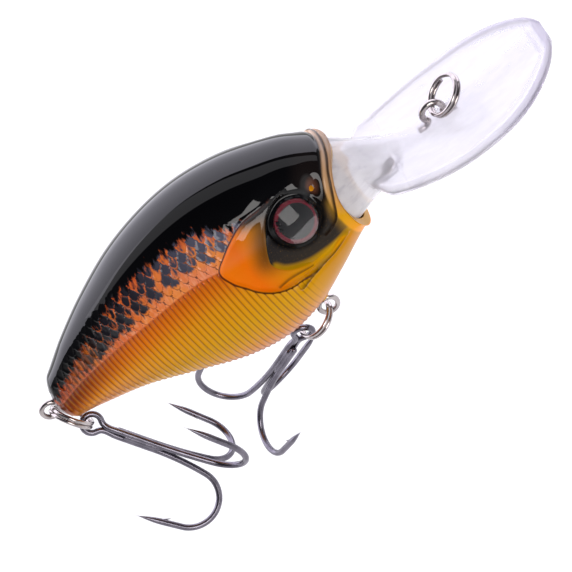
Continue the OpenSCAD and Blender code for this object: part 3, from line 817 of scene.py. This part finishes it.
def lip_points():
    """Rings of the lip: upper side from right to left, then the lower side back.

    Half thickness is the square root of slab^2 + root^2. The slab rounds off as sqrt(1 - v^8) and the root
    is an ellipse. The upper side has a spine, a rim that stands a little proud, and a dish inside it.
    """
    bend = np.linspace(0, np.pi / 2, 50)[:-1]
    x = np.concatenate([np.linspace(ROOT_BACK, BLADE_BACK, 27)[:-1],
                        np.linspace(BLADE_BACK, BLADE_ROUND, 151)[:-1],
                        LIP_TIP - (LIP_TIP - BLADE_ROUND) * np.cos(bend)])
    x = np.unique(np.round(x, 4))
    v = np.sin(np.linspace(-np.pi / 2, np.pi / 2, 97))
    half = lip_half(x)[:, None]
    y = v[None] * half
    slab = np.where(x < 68, 0, np.clip((x - 68) / 4, 0, 1))[:, None] * np.sqrt(1 - v**8)[None]
    round_part = y / curve(ROOT_HALF, x)[:, None]
    root = curve(ROOT_HIGH, x)[:, None] * np.sqrt(np.maximum(0, 1 - round_part**2))
    thick = np.sqrt(slab**2 + root**2)
    tall = np.clip((x - 71) / 3, 0, 1) * np.clip((93.5 - x) / 2.5, 0, 1)
    tall = tall * (1 - 0.78 * np.clip((x - 79) / 5, 0, 1))
    spine = 1.3 * np.exp(-((y / 2.1) ** 4)) * tall[:, None]
    inward = np.minimum(half - np.abs(y), (112.2 - x)[:, None] * 1.1)
    blade = smooth(72, 80, x)[:, None]
    beside = 1 - np.exp(-((y / 2.8) ** 4))
    upper = lip_mid(x)[:, None] + thick + spine - blade * 0.30 * smooth(1.6, 2.4, inward) * beside
    lower = lip_mid(x)[:, None] - thick
    tip = smooth(88, 106, x)[:, None]
    cloud = 0.30 + 0.25 * smooth(2.2, 1.2, inward) * blade + 0.28 * smooth(78, 71, x)[:, None]
    # Painted shade for the pale plastic: darker near the edges and along the dish line, most towards the tip,
    # and along the spine
    shade = smooth(2.3, 1.5, inward) * blade * (0.25 + 0.75 * tip) + 0.6 * bell(inward - 3.2, 0.45) * tip
    fields = {"cloud": cloud, "shade": shade + 0.25 * (1 - beside) * smooth(71, 74, x)[:, None]}
    top = np.stack(np.broadcast_arrays(x[:, None], y, upper), -1)
    low = np.stack(np.broadcast_arrays(x[:, None], y, lower), -1)[:, -2:0:-1]
    rings = np.concatenate([top, low], axis=1)
    around = {}
    for key, value in fields.items():
        value = np.broadcast_to(value, y.shape)
        ring = np.concatenate([value, value[:, -2:0:-1]], axis=1).ravel()
        around[key] = np.concatenate([ring, [value[0].mean(), value[-1].mean()]])
    tube = closed_tube(rings, rings[0].mean(0), rings[-1].mean(0) + [0.05, 0, 0], outward=False)
    return tube, around


lip, lip_fields = lip_points()
piece("clear_lip_fine", *lip, "lure", ["diving_lip"], "clear_lip", CLEAR_LIP, lip_fields)

# ---- Wires ----
WIRE_TIE, LOOP_TIE = 1.2, 2.0
HANGER_WIRE, HANGER_LOOP, HANGER_APART = 1.0, 1.8, 4.2
RING_OUTER, TAIL_RING_OUTER, RING_WIRE = 8.2, 8.75, 0.75


def line_tie():
    """One wire: a foot in the lip's spine, an arch round the tie's centre, and a foot the other way."""
    turn = np.radians(np.linspace(-38, 218, 9))
    arch = np.column_stack([LOOP_TIE * np.cos(turn), np.zeros(9), LOOP_TIE * np.sin(turn)]) + LINE_TIE
    front = [[92, 0, 2.45], [91.2, 0, 2.45], [90.3, 0, 2.5]]
    rear = [[85.7, 0, 2.5], [84.8, 0, 2.45], [84, 0, 2.45]]
    return swept(rounded_line(np.vstack([front, arch, rear])), WIRE_TIE / 2, [0, 1, 0])


def hanger(centre, inwards):
    """Two closed wire loops, one outside and one held in the body, joined by a short neck."""
    inwards = np.array(inwards, float)
    turn = np.arange(64) * 2 * np.pi / 64
    parts = []
    for middle in (np.array(centre), np.array(centre) + inwards * HANGER_APART):
        loop = middle + HANGER_LOOP * np.column_stack([np.cos(turn), np.zeros(64), np.sin(turn)])
        ring = loop[:, None] + HANGER_WIRE / 2 * circles(unit(loop - middle), np.array([[0, 1, 0]]), 18)
        cells = strip_quads(65, 18, wrap=True) % (64 * 18)
        parts.append((ring.reshape(-1, 3), cells[:, ::-1], np.zeros((0, 3), int)))
    neck = np.array(centre) + inwards * np.linspace(1.7, 2.5, 6)[:, None]
    parts.append(swept(neck, HANGER_WIRE / 2, [0, 1, 0], 18))
    return joined(parts)


def split_ring(at, reach, across, outer):
    """Two flat turns of wire side by side: the centreline steps over by one wire within a short crossing.

    The coil's radius is half of outer less wire, and each end stops where the crossing begins.
    """
    radius = (outer - RING_WIRE) / 2
    h = unit(reach)
    t = unit(np.array(across, float) - (np.array(across, float) @ h) * h)
    n = np.cross(h, t)
    turn = np.linspace(0.42, 4 * np.pi - 0.42, 260)
    step = (smooth(2 * np.pi - 0.4, 2 * np.pi + 0.4, turn) - 0.5) * RING_WIRE * 1.02
    angle = turn + 0.9
    path = (np.array(at) + radius * h + radius * (np.cos(angle)[:, None] * h + np.sin(angle)[:, None] * t)
            + step[:, None] * n)
    return swept(path, RING_WIRE / 2 * 0.985, n, 18)


BELLY_LOOP, TAIL_LOOP = [51.2, 0, -19.35], [-0.4, 0, -2.3]
LINE_REACH, BELLY_REACH, TAIL_REACH = [0.886, 0, 0.464], [-0.954, 0, -0.3], [0.51, -0.265, -0.818]
TAIL_PASS = [-0.197, 0.89, -0.409]

for name, node, wire in (
    ("line_tie_wire_fine", "line_tie_wire", line_tie()),
    ("belly_hanger_fine", "belly_hanger_wire", hanger(BELLY_LOOP, [0, 0, 1])),
    ("tail_hanger_fine", "tail_hanger_wire", hanger(TAIL_LOOP, [1, 0, 0])),
):
    piece(name, *wire, "lure", [node], "nickel_wire", NICKEL)

for word, node, ring in (
    ("line", "line_tie_split_ring", split_ring(LINE_TIE, LINE_REACH, [0, 1, 0], RING_OUTER)),
    ("belly", "belly_split_ring", split_ring(BELLY_LOOP, BELLY_REACH, [0, 1, 0], RING_OUTER)),
    ("tail", "tail_split_ring", split_ring(TAIL_LOOP, TAIL_REACH, TAIL_PASS, TAIL_RING_OUTER)),
):
    piece(f"{word}_split_ring_fine", *ring, f"{word}_ring", [node], "nickel_wire", NICKEL)

# ---- Treble hooks ----
HOOK_WIRE, HOOK_EYE, BUNDLE, TAPER = 0.6, 1.8, 0.72, 5.4
SHANK, LEAD_R, LEAD_TURN, BEND_R, POINT_LEN, POINT_TURN = 7.05, 56.2, 11.4, 5.5, 9.2, 175.0


def polar(r, degrees, z):
    """Point at a radius, an angle and a height."""
    a = math.radians(degrees)
    return np.array([r * math.cos(a), r * math.sin(a), z])


def hook_arm(degrees):
    """Straight shank, long lead out, round bend and tapered point in the plane at this angle.

    Gives the points and the wire's radius at each.
    """
    lead, stop = math.radians(LEAD_TURN), math.radians(POINT_TURN)
    turned_by = np.radians(np.linspace(LEAD_TURN, POINT_TURN, 60))
    z0 = TAPER + SHANK
    c1 = np.array([BUNDLE + LEAD_R, z0])
    f = np.linspace(0, lead, 22)[:-1]
    shank = np.column_stack([np.full(12, BUNDLE), np.linspace(TAPER, z0, 13)[:-1]])
    out = c1 + LEAD_R * np.column_stack([-np.cos(f), np.sin(f)])
    p1 = c1 + LEAD_R * np.array([-math.cos(lead), math.sin(lead)])
    c2 = p1 + BEND_R * np.array([math.cos(lead), -math.sin(lead)])
    bend = c2 + BEND_R * np.column_stack([-np.cos(turned_by), np.sin(turned_by)])
    u = np.linspace(0, 1, 30)[1:]
    point = bend[-1] + u[:, None] * POINT_LEN * np.array([math.sin(stop), math.cos(stop)])
    flat = np.vstack([shank, out, bend, point])
    radius = np.concatenate([np.full(len(flat) - 29, HOOK_WIRE),
                             HOOK_WIRE * np.clip(1 - smooth(0.42, 1.35, u) * 1.66, 0.03, 1)])
    a = math.radians(degrees)
    return np.column_stack([flat[:, 0] * math.cos(a), flat[:, 0] * math.sin(a), flat[:, 1]]), radius


def barb(degrees):
    """Thin wedge sliced up from the inner side of the point: a short cone that leans back from the tip."""
    path, _ = hook_arm(degrees)
    root = path[-19]
    back = unit(path[-24] - path[-19])
    inward = unit(-polar(1, degrees, 0))
    start = root + inward * 0.30 - back * 0.5
    end = root + inward * 1.02 + back * 0.95
    line = start + (end - start) * np.linspace(0, 1, 8)[:, None]
    return swept(line, np.linspace(0.26, 0.03, 8), polar(1, degrees + 90, 0), 12)


def eye_to_shank(b, a):
    """Bezier curve from the end of the eye's arc to the bundle at angle a."""
    s = polar(1, b, 0)
    opening = math.radians(140)
    up = np.array([0, 0, 1.0])
    p0 = HOOK_EYE * (math.sin(opening) * s - up * math.cos(opening))
    d0 = math.cos(opening) * s + up * math.sin(opening)
    p3 = polar(BUNDLE, a, TAPER)
    p1, p2 = p0 + 1.5 * d0, p3 - up * 1.8
    u = np.linspace(0, 1, 16)[1:-1, None]
    return (1 - u) ** 3 * p0 + 3 * u * (1 - u) ** 2 * p1 + 3 * u * u * (1 - u) * p2 + u**3 * p3


def double_hook(turn, eye_turn):
    """One wire: a point, its shank, round the eye, and down to the second point."""
    b = eye_turn + 90
    arm1, r1 = hook_arm(turn + 120)
    arm2, r2 = hook_arm(turn + 240)
    f = np.radians(np.linspace(140, -140, 60))[:, None]
    s = polar(1, b + 180, 0)
    arc = HOOK_EYE * (np.sin(f) * s - np.cos(f) * np.array([0, 0, 1.0]))
    taper1, taper2 = eye_to_shank(b, turn + 120), eye_to_shank(b + 180, turn + 240)
    path = np.vstack([arm2[::-1], taper2[::-1], arc, taper1, arm1])
    radius = np.concatenate([r2[::-1], np.full(28 + 60, HOOK_WIRE), r1])
    n = len(path)
    first, middle, last = polar(1, turn + 240 + 90, 0), polar(1, b + 90, 0), polar(1, turn + 120 - 90, 0)
    first = first * np.sign(first @ middle or 1)
    last = last * np.sign(last @ middle or 1)
    w1 = smooth(len(arm2) - 10, len(arm2) + 14, np.arange(n))[:, None]
    w2 = smooth(n - len(arm1) - 14, n - len(arm1) + 10, np.arange(n))[:, None]
    side = (first * (1 - w1) + middle * w1) * (1 - w2) + last * w2
    return joined([swept(path, radius, side), barb(turn + 120), barb(turn + 240)])


def single_hook(turn):
    """The third point's wire, whose rounded upper end lies against the bundle."""
    arm, radius = hook_arm(turn)
    z = np.linspace(TAPER - 0.55, TAPER - 0.05, 8)[:, None]
    path = np.vstack([polar(BUNDLE, turn, 0) + z * [0, 0, 1], arm])
    round_end = HOOK_WIRE * np.sqrt(np.clip(1 - (1 - np.linspace(0.03, 1, 8)) ** 2, 0, 1))
    return joined([swept(path, np.concatenate([round_end, radius]), polar(1, turn + 90, 0)), barb(turn)])


def braze(turn):
    """Filler between the three shanks: radius 0.98 (1 + 0.06 cos 3 angle) mm, fullest between two wires.

    Each end is rounded by a square root, the lower one over a longer way.
    """
    z = np.linspace(TAPER + 0.2, TAPER + SHANK + 2.4, 40)
    around = np.radians(np.arange(60) * 6.0)
    lobes = 1.0 + 0.06 * np.cos(3 * (around - math.radians(turn + 60)))
    rounded = np.sqrt(np.clip(np.minimum(z - z[0], (z[-1] - z) * 0.45) / 0.9, 0.02, 1))
    r = 0.98 * rounded[:, None] * lobes[None]
    rings = np.stack(np.broadcast_arrays(r * np.cos(around), r * np.sin(around), z[:, None]), -1)
    return closed_tube(rings, [[0, 0, z[0]]], [[0, 0, z[-1]]])


def hung(parts, at, reach, outer, down, side):
    """Moves a hook, made with its eye at the origin and its shank along +z, to its split ring's far side."""
    z = unit(down)
    x = unit(np.array(side, float) - (np.array(side, float) @ z) * z)
    y = np.cross(z, x)
    eye = np.array(at, float) + (outer - RING_WIRE) * unit(reach)
    points, quads, triangles = parts
    return eye + points @ np.array([x, y, z]), quads, triangles


for word, at, reach, outer, down, side, turn, eye_turn in (
    ("belly", BELLY_LOOP, BELLY_REACH, RING_OUTER,
     [-0.703, 0.344, -0.622], [0.366, -0.573, -0.733], 41, 52),
    ("tail", TAIL_LOOP, TAIL_REACH, TAIL_RING_OUTER,
     [0.517, -0.292, -0.805], [-0.805, -0.48, -0.348], 124, 97),
):
    for part, made in (("double_hook", double_hook(turn, eye_turn)), ("single_hook", single_hook(turn)),
                       ("hook_braze", braze(turn))):
        piece(f"{word}_{part}_fine", *hung(made, at, reach, outer, down, side), f"{word}_treble",
              [f"{word}_{part}"], "black_nickel_hook", BLACK_NICKEL)

# The weight, ball and beads inside the body keep their CAD shapes
for node in ("belly_ballast_weight", "transfer_ball", "rattle_bead_right", "rattle_bead_left"):
    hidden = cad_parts[node]
    hidden.data.materials.clear()
    hidden.data.materials.append(STEEL)


# ---- Camera, floor and lights ----
def row_point(point):
    """A working-frame point in the row frame, in metres."""
    return Vector([float(v) for v in (np.array(point, float) - LINE_TIE) * MM])


def aim_camera():
    """Camera 0.42 m from the lure, 12 degrees round and 41 degrees up, rolled 42.26 degrees."""
    away = 0.42
    round_by, up_by, roll = math.radians(12), math.radians(41), math.radians(42.26)
    level = math.cos(up_by)
    back = Vector((math.sin(round_by) * level, -math.cos(round_by) * level, math.sin(up_by)))
    flat = Vector((math.cos(round_by), math.sin(round_by), 0))
    rise = back.cross(flat)
    right = flat * math.cos(roll) - rise * math.sin(roll)
    up = flat * math.sin(roll) + rise * math.cos(roll)
    turn = Matrix((right, up, back)).transposed()
    data = bpy.data.cameras.new("camera")
    data.sensor_width = 36.0
    data.lens = 145.4
    data.clip_start, data.clip_end = 0.01, 20.0
    camera = shown("camera", data)
    camera.matrix_world = Matrix.Translation(row_point((47.62, 0, -9.73)) + back * away) @ turn.to_4x4()
    bpy.context.scene.camera = camera


def softbox(name, place, size, power, colour):
    """Rectangular light that faces the lure."""
    data = bpy.data.lights.new(name, "AREA")
    data.shape = "RECTANGLE"
    data.size, data.size_y = size
    data.energy = power
    data.color = colour
    made = shown(name, data)
    target = row_point((45, 0, 0))
    spot = target + Vector(place)
    made.location = spot
    made.rotation_mode = "QUATERNION"
    made.rotation_quaternion = (spot - target).to_track_quat("Z", "Y")


def floor_sheet():
    """Round pale table under the lure."""
    sides = 96
    turn = np.arange(sides) * 2 * np.pi / sides
    radius = np.array([0.05, 0.3, 1.0, 4.0])[:, None]
    ring = np.stack(np.broadcast_arrays(radius * np.cos(turn), radius * np.sin(turn), 0 * radius), -1)
    points = np.vstack([ring.reshape(-1, 3), [[0, 0, 0]]]) + [-0.04, 0, -0.16]
    centre = fan(np.arange(sides), len(radius) * sides, False)
    faces = strip_quads(len(radius), sides, wrap=True).tolist() + centre.tolist()
    mesh = bpy.data.meshes.new("table")
    mesh.from_pydata(points.tolist(), [], faces)
    made, shader, place = new_material("pale table")
    tone = place.noise(6, 2).ramp((0.2, srgb(160, 160, 162)), (0.8, srgb(164, 164, 165)))
    place.fill(shader, {
        "Base Color": tone,
        "Roughness": 0.9,
        "Specular IOR Level": 0.1,
        "Emission Color": (1.0, 1.0, 1.0, 1.0),
        "Emission Strength": 0.7,
    })
    mesh.materials.append(made)
    table = shown("table", mesh)


def studio_air():
    """Surroundings: bright near and below the horizon, darker overhead where the softboxes are."""
    world = bpy.data.worlds.new("studio")
    bpy.context.scene.world = world
    world.use_nodes = True
    tree = world.node_tree
    glow = tree.nodes["Background"]
    way = Shade(tree, tree.nodes.new("ShaderNodeTexCoord").outputs["Generated"])
    up = way.node("ShaderNodeSeparateXYZ", {0: way}, output=2)
    shade = (up * 0.5 + 0.5).ramp(
        (0.0, (0.8, 0.8, 0.82, 1)),
        (0.5, (0.8, 0.8, 0.82, 1)),
        (0.64, (0.12, 0.12, 0.14, 1)),
        (1.0, (0.04, 0.04, 0.05, 1)),
    )
    tree.links.new(shade.socket, glow.inputs["Color"])
    glow.inputs["Strength"].default_value = 1.0


aim_camera()
floor_sheet()
studio_air()
softbox("far softbox", (-0.10, 0.57, 0.355), (3.0, 0.84), 20.0, (0.9, 0.88, 1.0))
softbox("overhead strip", (0.0, 0.135, 0.634), (2.4, 0.275), 1.9, (0.96, 0.95, 1.0))
softbox("front softbox", (0.15, -0.60, 0.33), (0.36, 0.36), 2.1, (1.0, 0.97, 0.95))
bpy.context.scene.view_settings.view_transform = "Standard"
